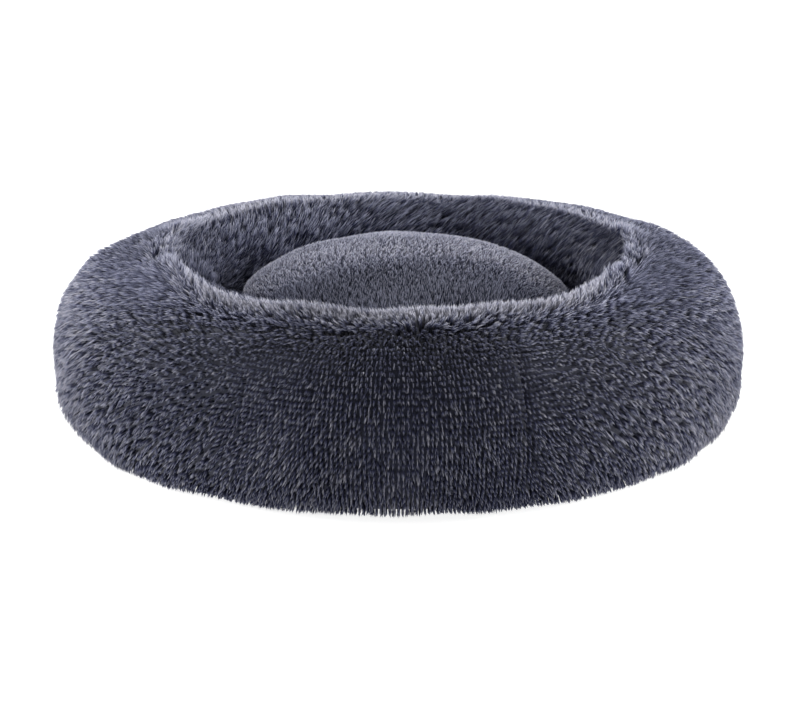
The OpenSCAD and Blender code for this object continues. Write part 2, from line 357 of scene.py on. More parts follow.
def turned(phi, angle):
    """The angle from a given direction, between -pi and pi."""
    return (np.asarray(phi) - angle + math.pi) % TAU - math.pi


def seam_gap(phi, r):
    """Distance round the ring to the nearest of its two seams, in metres, with a sign."""
    first, second = (turned(phi, a) for a in SEAMS)
    return np.where(np.abs(second) < np.abs(first), second, first) * r


# the filling's unevenness: direction in degrees, place along the profile, height, width both ways
BULGES = ((2, 0.195, 0.0065, 0.55, 0.040), (178, 0.205, -0.0015, 0.6, 0.045),
          (-150, 0.045, 0.0020, 0.7, 0.030), (130, 0.238, 0.0030, 0.38, 0.035),
          (50, 0.238, 0.0018, 0.35, 0.035))
# creases across the inner edge: direction in degrees, depth, width
PUCKERS = ((-169, 0.0045, 0.007), (-176, 0.003, 0.006), (6, 0.005, 0.007), (17, 0.003, 0.006))


def ring_lumps(phi, s, r):
    """How far the ring's fabric stands out or in at angle phi and length s."""
    x, y = np.cos(phi), np.sin(phi)
    soft = 0.0011 * ring_lump_a(3 * x + 14 * s, 3 * y - 9 * s)
    fine = 0.0006 * ring_lump_b(3 * x - 20 * s, 3 * y + 16 * s)
    free = smooth(0.0, 0.03, s) * (1 - smooth(0.40, 0.44, s))          # 0 at both sewn edges
    crease = smooth(0.245, 0.275, s) * (1 - smooth(0.33, 0.37, s))      # 1 on the upper inner wall
    shape = (soft + fine) * free
    for angle, at, amount, wide, tall in BULGES:
        d = turned(phi, math.radians(angle)) / wide
        shape = shape + amount * np.exp(-d ** 2 - ((s - at) / tall) ** 2)
    for angle, amount, wide in PUCKERS:
        d = turned(phi, math.radians(angle)) * r / wide
        shape = shape - amount * np.exp(-d ** 2) * crease
    return shape


def dome_lumps(phi, s, r):
    """The same for the cushion, which is even at the middle of its top."""
    return 0.0012 * dome_lump(r * np.cos(phi), r * np.sin(phi)) * smooth(0.0, 0.03, s)


ring_pts, RING_LEN = even(ring_profile(), PROFILE_POINTS)
dome_pts, DOME_LEN = even(dome_profile(), PROFILE_POINTS)
START_LOW = 0.0008       # the forms start this much smaller and swell
ring = Skin(ring_profile(), RING_ROWS, PILE + START_LOW, ring_lumps)
dome = Skin(dome_profile(), DOME_ROWS, CUSHION_PILE + START_LOW, dome_lumps, CUSHION_SHIFT)

swell(ring, bridge(ring.P, 14), pressure=4.0, cap=0.0035)
swell(dome, None, pressure=2.0, cap=0.0025)

# ---------------------------------------------------------------- materials


def new_material(name):
    m = bpy.data.materials.new(name)
    m.use_nodes = True
    nt = m.node_tree
    nt.nodes.clear()
    out = nt.nodes.new("ShaderNodeOutputMaterial")
    bsdf = nt.nodes.new("ShaderNodeBsdfPrincipled")
    nt.links.new(bsdf.outputs[0], out.inputs[0])
    return m, nt, bsdf


def node(nt, kind, **values):
    n = nt.nodes.new(kind)
    for k, v in values.items():
        if hasattr(n, k) and k not in n.inputs:
            setattr(n, k, v)
        else:
            n.inputs[k.replace("_", " ")].default_value = v
    return n


def ramp(nt, factor, stops):
    n = nt.nodes.new("ShaderNodeValToRGB")
    e = n.color_ramp.elements
    while len(e) < len(stops):
        e.new(0.5)
    for el, (p, c) in zip(e, stops):
        el.position = p
        el.color = (*c, 1.0)
    nt.links.new(factor, n.inputs[0])
    return n.outputs[0]


def grey(v):
    return (v, v, v)


def mixed(nt, kind, fac, a, b):
    n = nt.nodes.new("ShaderNodeMix")
    n.data_type = "RGBA"
    n.blend_type = kind
    for i, v in ((0, fac), (6, a), (7, b)):
        if isinstance(v, bpy.types.NodeSocket):
            nt.links.new(v, n.inputs[i])
        else:
            n.inputs[i].default_value = v if i == 0 else (*v, 1.0)
    return n.outputs[2]


def surface(nt, bsdf, height, colours, roughness, bump, depth, sheen=0.0, drift=None):
    """Colour, roughness and bump that all follow one height. drift multiplies the colour."""
    colour = ramp(nt, height, colours)
    if drift is not None:
        colour = mixed(nt, "MULTIPLY", 1.0, colour, drift)
    nt.links.new(colour, bsdf.inputs["Base Color"])
    nt.links.new(ramp(nt, height, roughness), bsdf.inputs["Roughness"])
    relief = node(nt, "ShaderNodeBump", Strength=bump, Distance=depth)
    nt.links.new(height, relief.inputs["Height"])
    nt.links.new(relief.outputs[0], bsdf.inputs["Normal"])
    bsdf.inputs["Sheen Weight"].default_value = sheen


def fur_material(name, root, middle, tip, sheen):
    """Pile: the UV map holds each strand's tone with painted light and shade in it (u) and the way
    from root to tip (v).
    """
    m, nt, bsdf = new_material(name)
    uv = nt.nodes.new("ShaderNodeUVMap")
    uv.uv_map = "OFBake"
    sep = nt.nodes.new("ShaderNodeSeparateXYZ")
    nt.links.new(uv.outputs[0], sep.inputs[0])
    strand_tone_and_light, way = sep.outputs[0], sep.outputs[1]
    # darker towards the root: partly the fur's own darker base, partly painted shade deep in the
    # pile
    low = tuple(0.25 * c + 0.75 * r for c, r in zip(middle, root))
    length = ramp(nt, way, [(0.0, root), (0.35, low), (0.66, middle), (1.0, tip)])
    shade = ramp(nt, strand_tone_and_light, [(0.0, (0.13, 0.14, 0.21)), (0.35, (0.70, 0.72, 0.81)),
                                 (0.65, (1.0, 1.0, 1.0)), (1.0, (1.12, 1.10, 1.06))])
    # the lightest strands are pale over their whole length: painted light on the rim's upright
    # tufts, and more contrast among the random tones elsewhere
    pale_strands_and_rim_light = ramp(nt, strand_tone_and_light, [(0.55, grey(0.0)), (1.0, grey(0.62))])
    length = mixed(nt, "MIX", pale_strands_and_rim_light, length, tip)
    nt.links.new(mixed(nt, "MULTIPLY", 1.0, length, shade), bsdf.inputs["Base Color"])
    rough = ramp(nt, way, [(0.0, grey(0.9)), (1.0, grey(0.55))])
    nt.links.new(rough, bsdf.inputs["Roughness"])
    bsdf.inputs["Specular IOR Level"].default_value = 0.10
    bsdf.inputs["Sheen Weight"].default_value = sheen
    bsdf.inputs["Sheen Roughness"].default_value = 0.45
    bsdf.inputs["Sheen Tint"].default_value = (0.80, 0.84, 1.0, 1.0)
    return m


def cloth_material(name, dark, light, yarn, bump=0.4, rough=(0.75, 0.95), sheen=0.1, twill=False):
    """A woven cloth from object coordinates: yarns both ways, slubs and slow colour drift."""
    m, nt, bsdf = new_material(name)
    tc = nt.nodes.new("ShaderNodeTexCoord")
    yarns = []
    for axis in ("X", "Y"):
        mp = nt.nodes.new("ShaderNodeMapping")
        if twill:
            mp.inputs["Rotation"].default_value = (0.0, 0.0, math.radians(26))
        nt.links.new(tc.outputs["Object"], mp.inputs["Vector"])
        w = node(nt, "ShaderNodeTexWave", bands_direction=axis, wave_profile="SIN",
                 Scale=0.314159 / yarn, Distortion=0.6, Detail=1.0, Detail_Scale=0.35 / yarn)
        nt.links.new(mp.outputs[0], w.inputs["Vector"])
        yarns.append(w.outputs["Color"])
    weave = mixed(nt, "SCREEN" if twill else "MULTIPLY", 1.0, *yarns)
    slub = node(nt, "ShaderNodeTexNoise", Scale=0.4 / yarn, Detail=4.0)
    drift = node(nt, "ShaderNodeTexNoise", Scale=3.0, Detail=3.0)
    for n in (slub, drift):
        nt.links.new(tc.outputs["Object"], n.inputs["Vector"])
    tint = ramp(nt, drift.outputs["Fac"], [(0.3, grey(0.78)), (0.7, grey(1.12))])
    surface(nt, bsdf, mixed(nt, "OVERLAY", 0.55, weave, slub.outputs["Fac"]),
            [(0.1, dark), (0.8, light)], [(0.0, grey(rough[1])), (1.0, grey(rough[0]))],
            bump, yarn * 0.5, sheen, tint)
    return m


def skin_material(name, dark, light):
    """The knitted backing between the tufts: dark, with small stitches and loose underfur."""
    m, nt, bsdf = new_material(name)
    tc = nt.nodes.new("ShaderNodeTexCoord")
    fine = node(nt, "ShaderNodeTexNoise", Scale=420.0, Detail=5.0, Roughness=0.65)
    broad = node(nt, "ShaderNodeTexNoise", Scale=14.0, Detail=3.0)
    cell = node(nt, "ShaderNodeTexVoronoi", Scale=260.0)
    for n in (fine, broad, cell):
        nt.links.new(tc.outputs["Object"], n.inputs["Vector"])
    surface(nt, bsdf, mixed(nt, "MULTIPLY", 0.6, fine.outputs["Fac"], cell.outputs["Distance"]),
            [(0.12, dark), (0.75, light)], [(0.0, grey(1.0)), (1.0, grey(0.8))], 0.8, 0.001, 0.2,
            ramp(nt, broad.outputs["Fac"], [(0.3, grey(0.75)), (0.7, grey(1.2))]))
    return m


def fluff_material(name, light, dark, scale):
    """Loose fibre: soft tangled noise, darker in the hollows with painted shade."""
    m, nt, bsdf = new_material(name)
    tc = nt.nodes.new("ShaderNodeTexCoord")
    big = node(nt, "ShaderNodeTexNoise", Scale=scale, Detail=6.0, Roughness=0.7, Distortion=1.5)
    fine = node(nt, "ShaderNodeTexNoise", Scale=scale * 9, Detail=4.0, Distortion=2.5)
    for n in (big, fine):
        nt.links.new(tc.outputs["Object"], n.inputs["Vector"])
    surface(nt, bsdf, mixed(nt, "OVERLAY", 0.7, big.outputs["Fac"], fine.outputs["Fac"]),
            [(0.25, dark), (0.7, light)], [(0.0, grey(1.0)), (1.0, grey(0.85))], 0.9, 0.002, 0.3)
    return m


def hard_material(name, dark, light, metallic, rough, scale, bump):
    """Metal, rubber or nylon: fine grain, slow colour drift and lighter worn places."""
    m, nt, bsdf = new_material(name)
    tc = nt.nodes.new("ShaderNodeTexCoord")
    grain = node(nt, "ShaderNodeTexNoise", Scale=scale, Detail=5.0)
    spots = node(nt, "ShaderNodeTexNoise", Scale=scale * 0.12, Detail=3.0)
    stretch = nt.nodes.new("ShaderNodeMapping")
    stretch.inputs["Scale"].default_value = (0.15, 1.0, 1.0)
    nt.links.new(tc.outputs["Object"], stretch.inputs["Vector"])
    nt.links.new(stretch.outputs[0], grain.inputs["Vector"])
    nt.links.new(tc.outputs["Object"], spots.inputs["Vector"])
    bsdf.inputs["Metallic"].default_value = metallic
    surface(nt, bsdf, mixed(nt, "OVERLAY", 0.5, spots.outputs["Fac"], grain.outputs["Fac"]),
            [(0.3, dark), (0.72, light)], [(0.2, grey(rough[1])), (0.8, grey(rough[0]))],
            bump, 0.0003)
    return m


# the roots' colours are partly the fur's own dark base, partly painted shade between the strands
RING_FUR = fur_material("ring_fur", (0.0020, 0.0030, 0.011), (0.040, 0.043, 0.081),
                        (0.300, 0.303, 0.352), 0.04)
CUSHION_FUR = fur_material("cushion_fur", (0.006, 0.0065, 0.017), (0.070, 0.072, 0.106),
                           (0.345, 0.345, 0.392), 0.06)
SKIN = skin_material("fur_backing", (0.0025, 0.0035, 0.012), (0.012, 0.015, 0.038))
OXFORD = cloth_material("oxford", (0.008, 0.009, 0.016), (0.042, 0.045, 0.062), 0.0007,
                        bump=0.6, rough=(0.62, 0.85))
WELL = cloth_material("well_cloth", (0.014, 0.015, 0.024), (0.070, 0.074, 0.098), 0.0009,
                      bump=0.5, sheen=0.25)
RIBBON = cloth_material("ribbon", (0.010, 0.011, 0.019), (0.055, 0.058, 0.080), 0.0006,
                        bump=0.6, twill=True)
TAPE = cloth_material("zip_tape", (0.008, 0.009, 0.015), (0.048, 0.052, 0.072), 0.0005,
                      bump=0.6, twill=True)
LINER = cloth_material("liner", (0.50, 0.50, 0.48), (0.78, 0.78, 0.75), 0.0008)
LABEL = cloth_material("label", (0.58, 0.58, 0.56), (0.86, 0.86, 0.83), 0.0003,
                       rough=(0.42, 0.65), twill=True)
THREAD = cloth_material("thread", (0.020, 0.021, 0.032), (0.11, 0.115, 0.15), 0.0002,
                        bump=0.5, rough=(0.5, 0.7), twill=True)
LOFT = fluff_material("fibre", (0.88, 0.88, 0.87), (0.55, 0.55, 0.56), 40.0)
WADDING = fluff_material("wadding", (0.84, 0.83, 0.80), (0.55, 0.54, 0.52), 60.0)
RUBBER = hard_material("dot_rubber", (0.012, 0.012, 0.014), (0.045, 0.045, 0.050), 0.0,
                       (0.45, 0.7), 1800.0, 0.3)
NYLON = hard_material("zip_nylon", (0.010, 0.010, 0.015), (0.050, 0.052, 0.064), 0.0,
                      (0.28, 0.45), 2500.0, 0.2)
METAL = hard_material("zip_metal", (0.16, 0.165, 0.18), (0.46, 0.47, 0.49), 1.0,
                      (0.22, 0.48), 1600.0, 0.35)

# the CAD nodes that stay, whose own shape is right
for name, mat in {"well_floor_panel": WELL, "base_wadding": WADDING, "front_base_panel": OXFORD,
                  "rear_base_panel": OXFORD, "base_seam_binding": RIBBON,
                  "well_seam_binding": RIBBON, "anti_slip_dots": RUBBER, "care_label": LABEL,
                  "front_zip_tape": TAPE, "rear_zip_tape": TAPE, "zip_end_stops": METAL,
                  "zip_slider": METAL, "zip_pull": METAL}.items():
    for slot in NODES[name].material_slots:
        slot.material = mat

# ---------------------------------------------------------------- skins


def seam_rows(skin, a0, a1):
    """The grid cut out between two angles, with its own end rows exactly on them."""
    n = AROUND // 2
    phi = np.linspace(a0, a1, n + 1)
    s = np.linspace(0, skin.length, skin.count)
    f, t = np.meshgrid(phi, s, indexing="ij")
    p, nn, _, _ = skin.at(f.ravel(), t.ravel())
    return p.reshape(n + 1, skin.count, 3), nn.reshape(n + 1, skin.count, 3)


SKIN_T = 0.0008          # thickness of the fur's backing
HALF_SEAM = 0.0001       # half the parting between the two ring covers
LINING_IN, RING_STUFFING_IN = 0.0016, 0.0034     # how far a layer is drawn in from its skin
STUFFING_T = 0.003
HALVES = (("right_ring_skin", "right_ring_cover", SEAMS[0], SEAMS[1]),
          ("left_ring_skin", "left_ring_cover", SEAMS[1] - TAU, SEAMS[0]))
for name, cad, a0, a1 in HALVES:
    gap = HALF_SEAM / BED_R
    P, N = seam_rows(ring, a0 + gap, a1 - gap)
    dress(shell(name, P, N, SKIN_T, wrap=False), SKIN, "bed", cad)

SEAM_ROW = int(np.argmin(np.linalg.norm(even(dome_profile(), dome.count)[0]
                                        - np.array([CUSHION_R, CUSHION_SEAM_Z]), axis=1)))
for name, cad, j0, j1, fill in (
        ("cushion_top_skin", "cushion_top_cover", 0, SEAM_ROW + 1, 0.85),
        ("cushion_bottom_skin", "cushion_bottom_cover", SEAM_ROW, dome.count, 0.7)):
    dress(shell(name, dome.P[:, j0:j1], dome.N[:, j0:j1], SKIN_T, wrap=True),
          SKIN, "cushion", cad)

dress(shell("cushion_stuffing", dome.P - dome.N * LINING_IN, dome.N, STUFFING_T, wrap=True),
      LOFT, "cushion", "cushion_fill")


def tube(name, path, radius, sides=8):
    """A closed tube round a closed path of points."""
    t = unit(np.roll(path, -1, 0) - np.roll(path, 1, 0))
    b = unit(np.cross(t, np.array([0.0, 0.0, 1.0])))
    c = np.cross(b, t)
    a = (np.arange(sides) / sides * TAU)[None, :, None]
    verts = path[:, None] + radius * (b[:, None] * np.cos(a) + c[:, None] * np.sin(a))
    return link(name, quad_mesh(name, verts, closed_quads(len(path), sides)))


def closed(name, inset):
    """The ring's form drawn in by inset and closed underneath."""
    rows = ring.P - ring.N * inset
    rows = np.concatenate([rows, bridge(rows, 16)], 1)
    mesh = quad_mesh(name, rows, closed_quads(*rows.shape[:2]))
    outward(mesh)
    return link(name, mesh)


dress(closed("ring_lining", LINING_IN), LINER, "bed", "ring_liner")
dress(closed("ring_stuffing", RING_STUFFING_IN), LOFT, "bed", "ring_fill")


def hem(name, edge, normals, r, z):
    """A strip of the cover's fabric from the skin's edge to a seam at radius r and height z."""
    phi = np.arange(AROUND) / AROUND * TAU
    end = np.stack([r * np.cos(phi), r * np.sin(phi), np.full(AROUND, z)], 1)
    t = np.linspace(0, 1, 7)[None, :, None]
    rows = edge[:, None] * (1 - t) + end[:, None] * t
    rows = rows + normals[:, None] * SKIN_T * np.sin(math.pi * t)
    way = unit(end - edge)
    around = np.stack([-np.sin(phi), np.cos(phi), 0 * phi], 1)
    n = unit(np.cross(way, around))
    n = n * np.sign((n * normals).sum(1, keepdims=True))
    dress(shell(name, rows, np.broadcast_to(n[:, None], rows.shape), SKIN_T, wrap=True),
          SKIN, "bed")


BASE_SEAM, WELL_SEAM = (0.2810, 0.0034), (0.1975, 0.0186)    # radius and height
hem("outer_hem", ring.P[:, 0], ring.N[:, 0], *BASE_SEAM)
hem("well_hem", ring.P[:, -1], ring.N[:, -1], *WELL_SEAM)

PIPING_OUT, PIPING_R = 0.0006, 0.0012
piping_path = dome.P[:, SEAM_ROW] + dome.N[:, SEAM_ROW] * PIPING_OUT
dress(tube("cushion_piping", piping_path, PIPING_R), RIBBON, "cushion",
      "cushion_seam_binding")

# ---------------------------------------------------------------- pile

SIDES = 3
STRAND_RINGS = ((0.0, 0.85), (0.5, 1.08))   # place along the strand, and its width there
RINGS = len(STRAND_RINGS)
STRAND_VERTS = SIDES * RINGS + 1
UV_HALF = 0.012                             # half the UV width of a strand
RING_FLOOR, CUSHION_FLOOR = 0.0006, 0.0185  # no strand reaches lower than this


def strand_topology():
    """Loops, face starts and UVs of one strand: a row of quads, a pointed end and a closed root."""
    loops, starts, uv = [], [], []
    v_at = (0.02, 0.52)
    for r in range(RINGS - 1):
        for k in range(SIDES):
            k2 = (k + 1) % SIDES
            starts.append(len(loops))
            loops += [r * SIDES + k, r * SIDES + k2, (r + 1) * SIDES + k2, (r + 1) * SIDES + k]
            uv += [(-1, v_at[r]), (1, v_at[r]), (1, v_at[r + 1]), (-1, v_at[r + 1])]
    for k in range(SIDES):
        k2 = (k + 1) % SIDES
        starts.append(len(loops))
        loops += [(RINGS - 1) * SIDES + k, (RINGS - 1) * SIDES + k2, RINGS * SIDES]
        uv += [(-1, v_at[-1]), (1, v_at[-1]), (0, 0.98)]
    starts.append(len(loops))
    loops += [2, 1, 0]
    uv += [(1, 0.0), (-1, 0.0), (0, 0.02)]
    return np.array(loops), np.array(starts), np.array(uv, float)


S_LOOPS, S_STARTS, S_UV = strand_topology()


def strands_mesh(name, root, rise, lean, width, shade, material, body, slot_name, lowest):
    """One mesh of many strands. Each starts at root, climbs by rise and bends over by lean."""
    n = len(root)
    side = unit(np.cross(rise, lean) + 1e-9 * np.array([1.0, 2.0, 3.0]))
    out = unit(rise)
    verts = np.empty((n, STRAND_VERTS, 3), np.float32)
    for r, (t, w) in enumerate(STRAND_RINGS):
        centre = root + rise * (1 - (1 - t) ** 2) + lean * t ** 1.7
        for k in range(SIDES):
            a = TAU * k / SIDES + 0.5
            off = side * math.cos(a) + out * math.sin(a)
            verts[:, r * SIDES + k] = centre + off * (width * w)[:, None]
    verts[:, -1] = root + rise + lean
    verts[..., 2] = np.maximum(verts[..., 2], lowest)
    base = (np.arange(n) * STRAND_VERTS)[:, None]
    loops = (base + S_LOOPS[None]).ravel()
    starts = (np.arange(n)[:, None] * len(S_LOOPS) + S_STARTS[None]).ravel()
    mesh = make_mesh(name, verts.reshape(-1, 3), loops, starts)
    uv = np.empty((n, len(S_LOOPS), 2), np.float32)
    uv[..., 0] = shade[:, None] + S_UV[None, :, 0] * UV_HALF
    uv[..., 1] = S_UV[None, :, 1]
    layer = mesh.uv_layers.new(name="OFBake")
    layer.data.foreach_set("uv", uv.ravel())
    return dress(link(name, mesh), material, body)


def tuft_places(s0, s1, row, columns, rng, jitter):
    """Tuft roots in the knit's rows and columns, moved by jitter times a row or a column.
    columns is a count, or a function of s whose rows each start at a random angle."""
    phis, ss = [], []
    for s in np.arange(s0, s1, row):
        n = columns if isinstance(columns, int) else max(3, int(columns(s)))
        phi = (np.arange(n) + (0.0 if isinstance(columns, int) else rng.uniform())) / n * TAU
        j = jitter(phi, s)
        phis.append(phi + rng.normal(0, 1.0, n) * j * TAU / n)
        ss.append(s + rng.normal(0, 1.0, n) * j * row)
    return np.concatenate(phis), np.concatenate(ss)


HASH = (73856093, 19349663, 83492791)       # a cell's number from its three coordinates
SINES = (12.9898, 78.233, 43758.5453)       # the usual sine hash, which gives 0 to 1


def gather(P, size, seed):
    """For each point, the way to the middle of its neighbourhood: cells of a jittered grid."""
    cell = np.floor(P / size).astype(np.int64)
    best, way = None, None
    for step in np.ndindex(3, 3, 3):
        c = cell + np.array(step) - 1
        h = (c[:, 0] * HASH[0] ^ c[:, 1] * HASH[1] ^ c[:, 2] * HASH[2]) + seed
        j = np.stack([np.sin(h * SINES[0] + k * SINES[1]) * SINES[2] % 1.0 for k in range(3)], 1)
        m = (c + 0.15 + 0.7 * j) * size - P        # a middle keeps off its cell's edges
        d = np.linalg.norm(m, axis=1)
        if best is None:
            best, way = d, m
        else:
            near = d < best
            best = np.where(near, d, best)
            way = np.where(near[:, None], m, way)
    return way


LOCK_SIZE, LOCK_SEED = 0.009, 7             # strands lean together in locks about this wide
ROOT_DEPTH = 0.0006
LEAD_LONG, LEAD_WIDE = 1.06, 1.55           # the thick middle strand of each tuft
REST_LONG, REST_WIDE = (0.72, 1.03), (0.75, 1.1)


def grow(skin, phi, s, field, per_tuft, spread, rng):
    """Strands for tufts at phi, s. field gives each tuft's length, lift from the fabric, comb
    direction, width, shade, and how much its own strands and its neighbours' draw together."""
    P, N, E, D = skin.at(phi, s)
    length, lift, across, along, width, shade, clump, lock = field(phi, s, P)
    comb = unit(E * across[:, None] + D * along[:, None])
    n = len(phi)
    k = per_tuft
    way = gather(P, LOCK_SIZE, LOCK_SEED)
    way = (way - N * (way * N).sum(1, keepdims=True)) * lock[:, None]
    rep = np.repeat(np.arange(n), k)
    a = rng.uniform(0, TAU, n * k)
    q = spread * np.sqrt(rng.uniform(0.02, 1, n * k))
    offset = E[rep] * (q * np.cos(a))[:, None] + D[rep] * (q * np.sin(a))[:, None]
    root = P[rep] + offset - N[rep] * ROOT_DEPTH
    lead = np.arange(n * k) % k == 0
    offset[lead] *= 0.2
    size = length[rep] * np.where(lead, LEAD_LONG, rng.uniform(*REST_LONG, n * k))
    tilt = lift[rep] + rng.normal(0, 0.08, n * k)
    turn = rng.normal(0, 0.12, n * k)
    c = comb[rep]
    cross = np.cross(N[rep], c)
    direction = c * np.cos(turn)[:, None] + cross * np.sin(turn)[:, None]
    rise = N[rep] * (size * np.sin(tilt))[:, None]
    lean = direction * (size * np.cos(tilt))[:, None] - offset * clump[rep][:, None] + way[rep]
    w = width[rep] * np.where(lead, LEAD_WIDE, rng.uniform(*REST_WIDE, n * k))
    # the middle strand of each tuft is painted lighter and the rest a little darker: a painted
    # highlight on each lock
    u = np.clip(shade[rep] + rng.normal(0, 0.08, n * k) + np.where(lead, 0.10, -0.02), 0.03, 0.97)
    return root, rise, lean, w, u


def dome_radius(s):
    return float(np.interp(s, np.linspace(0, DOME_LEN, PROFILE_POINTS), dome_pts[:, 0]))


swirl_a = waves(31, 5, 2.0, 6.0)
swirl_b = waves(32, 6, 10.0, 26.0)
lift_n = waves(33, 6, 12.0, 30.0)
patch_n = waves(34, 6, 9.0, 20.0)
fine_n = waves(35, 8, 40.0, 90.0)

# lengths along the ring's outside
ring_at = np.linspace(0, RING_LEN, PROFILE_POINTS)
S_BULGE = float(ring_at[np.argmax(ring_pts[:, 0])])
S_CREST = float(ring_at[np.argmax(ring_pts[:, 1])])
S_WAIST = float(ring_at[np.argmin(ring_pts[:, 0])])
S_RIM = S_CREST + 0.008                     # the mouth of the well, where the pile parts
S_RIM_LOW, S_RIM_HIGH = S_CREST - 0.034, S_CREST + 0.022

# the pile's angle from the fabric on the wall, what the sides and the top take off it, and the
# angles in the well and at the rim
LIFT_WALL, LIFT_SIDES, LIFT_TOP = math.radians(58), math.radians(19), math.radians(14)
LIFT_WELL, LIFT_RIM = math.radians(26), math.radians(30)
LONG_WALL, LONG_SIDES = 0.0108, 0.0050      # strand lengths
LONG_WELL, LONG_DEEP = 0.0225, 0.0105
LONG_RIM, LONG_RIM_FRONT, LONG_RIM_UNEVEN = 0.0076, 0.0014, 0.0008
WIDE_RING, WIDE_CUSHION = 0.00034, 0.00026  # strand radii


def ring_jitter(phi, s):
    """Clear knit rows on the front wall, loose everywhere else."""
    front = smooth(0.78, 0.95, -np.sin(phi)) * (1 - smooth(S_BULGE + 0.09, S_BULGE + 0.13, s))
    return 0.09 + 0.33 * (1 - front)


def ring_field(phi, s, P):
    """The ring's pile. The masks run from 0 to 1: front, back and sides go round the bed, and
    outer, top, rim, inner and deep go over it from the wall to the foot of the well."""
    x, y, z = P[:, 0], P[:, 1], P[:, 2]
    n = len(phi)
    front = smooth(0.35, 0.85, -np.sin(phi))
    back = smooth(0.1, 0.7, np.sin(phi))
    sides = 1 - np.maximum(front, back)
    inner = smooth(S_RIM - 0.004, S_RIM + 0.022, s)
    outer = 1 - inner
    rim = np.exp(-((s - S_RIM + 0.022 * front) / (0.012 + 0.006 * front)) ** 2)
    top = smooth(S_BULGE + 0.055, S_RIM - 0.016, s) * outer
    deep = smooth(S_CREST + 0.06, S_WAIST, s)
    noise = 0.5 * swirl_a(3 * x, 3 * y + 2 * z) + 0.4 * swirl_b(x, y + z)
    fan = np.tanh(2.2 * np.cos(phi) + 0.35 * swirl_a(2 * x, 2 * z))
    # comb: along is +1 towards the well and -1 towards the floor, across goes round the bed
    along = outer * (-1.0 + 0.75 * top * front) + inner * (-0.60 + 0.45 * deep)
    along = along + (0.5 + 0.7 * front) * rim
    across = (1 - top) * 0.75 * np.cos(phi) + top * (front * fan + (1 - front) * 0.5 * np.cos(phi))
    across = outer * across - 0.85 * inner * (1 - 0.55 * front)
    gap = seam_gap(phi, 0.30)
    parting = outer * (1 - rim)
    across = across + parting * 0.55 * np.clip(gap / 0.016, 0, 1) * np.exp(-(gap / 0.055) ** 2)
    turn = noise * (0.30 + 0.9 * rim + 0.22 * inner) + RNG.normal(0, 0.25, n) * rim
    ca, sa = np.cos(turn), np.sin(turn)
    across, along = across * ca - along * sa, across * sa + along * ca
    lift = (LIFT_WALL - LIFT_SIDES * sides) * outer + LIFT_WELL * inner
    lift = lift - LIFT_TOP * top * (1 - rim) + LIFT_RIM * rim * (1 - 0.5 * back)
    lift = lift + 0.10 * lift_n(x, y + 0.7 * z)
    length = (LONG_WALL + LONG_SIDES * sides) * outer + (LONG_WELL - LONG_DEEP * deep) * inner
    on_rim = LONG_RIM + LONG_RIM_FRONT * front + LONG_RIM_UNEVEN * fine_n(x, y)
    length = length + on_rim * rim * (1 - 0.7 * back)
    length = length * (1 + 0.10 * fine_n(x, y + z))
    width = WIDE_RING - 0.00002 * inner + 0.00006 * front * outer * (1 - rim) - 0.00007 * rim
    # shade: patches and single tufts at random, then painted light and shade: lighter rim, darker
    # inner wall, darker below the rim, lighter low on the wall and on the back rim, and darker at
    # the seams' partings
    shade = 0.46 + 0.07 * patch_n(x, y + z) + RNG.normal(0, 1.0, n) * (0.15 + 0.07 * sides)
    shade = shade + (0.04 + 0.44 * front - 0.12 * sides) * rim + RNG.normal(0, 0.08, n) * rim
    shade = shade - (0.34 - 0.16 * np.cos(phi) * sides) * inner * (1 - rim)
    shade = shade - (0.08 + 0.22 * front + 0.46 * sides) * top * (1 - rim)
    painted_light_low_wall = 1 - smooth(S_BULGE - 0.04, S_BULGE + 0.03, s)
    shade = shade + 0.14 * (1 - front) * painted_light_low_wall + 0.18 * back * rim
    shade = shade - 0.10 * parting * np.exp(-(gap / 0.010) ** 2)
    clump = 0.85 - 0.40 * front * outer
    lock = 0.05 * outer + 0.7 * np.maximum(rim * (1 - 0.6 * front), inner * (1 - deep))
    return length, np.clip(lift, 0.25, 1.45), across, along, width, shade, clump, lock


def dome_field(phi, s, P):
    """The cushion's pile: combed one way on top, combed up at its front foot, down on its side,
    with painted shade at its front foot.
    """
    x, y, z = P[:, 0] - CUSHION_SHIFT[0], P[:, 1] - CUSHION_SHIFT[1], P[:, 2]
    n = len(phi)
    side = smooth(0.17, 0.22, s)
    foot = smooth(0.050, 0.110, -y) * (1 - side)               # its front, low against the ring
    turn = 0.9 + 0.9 * swirl_b(0.6 * x, 0.6 * y) + RNG.normal(0, 0.45, n)
    e = np.stack([-np.sin(phi), np.cos(phi)], 1)
    r = np.stack([-np.cos(phi), -np.sin(phi)], 1)             # towards the middle
    way = np.stack([np.cos(turn) * (1 - foot), np.sin(turn) + foot], 1)
    across, along = (way * e).sum(1), (way * r).sum(1) * (1 - side) - 1.2 * side
    lift = math.radians(70) * (1 - side) + math.radians(40) * side
    lift = lift + 0.12 * lift_n(x, y) - 0.35 * foot
    length = (0.0100 * (1 - side) + 0.0085 * side + 0.004 * foot) * (1 + 0.12 * fine_n(x, y))
    shade = 0.50 + 0.05 * patch_n(x, y) + RNG.normal(0, 0.11, n)
    painted_shade_reach = -y + 0.010 * patch_n(x, y) + RNG.normal(0, 0.008, n)
    shade = shade - 0.90 * smooth(0.025, 0.104, painted_shade_reach)        # painted shade, darker towards the front foot
    return (length, np.clip(lift, 0.3, 1.45), across, along, WIDE_CUSHION + 0 * phi, shade,
            0.15 + 0 * phi, 0.10 * (1 - side))


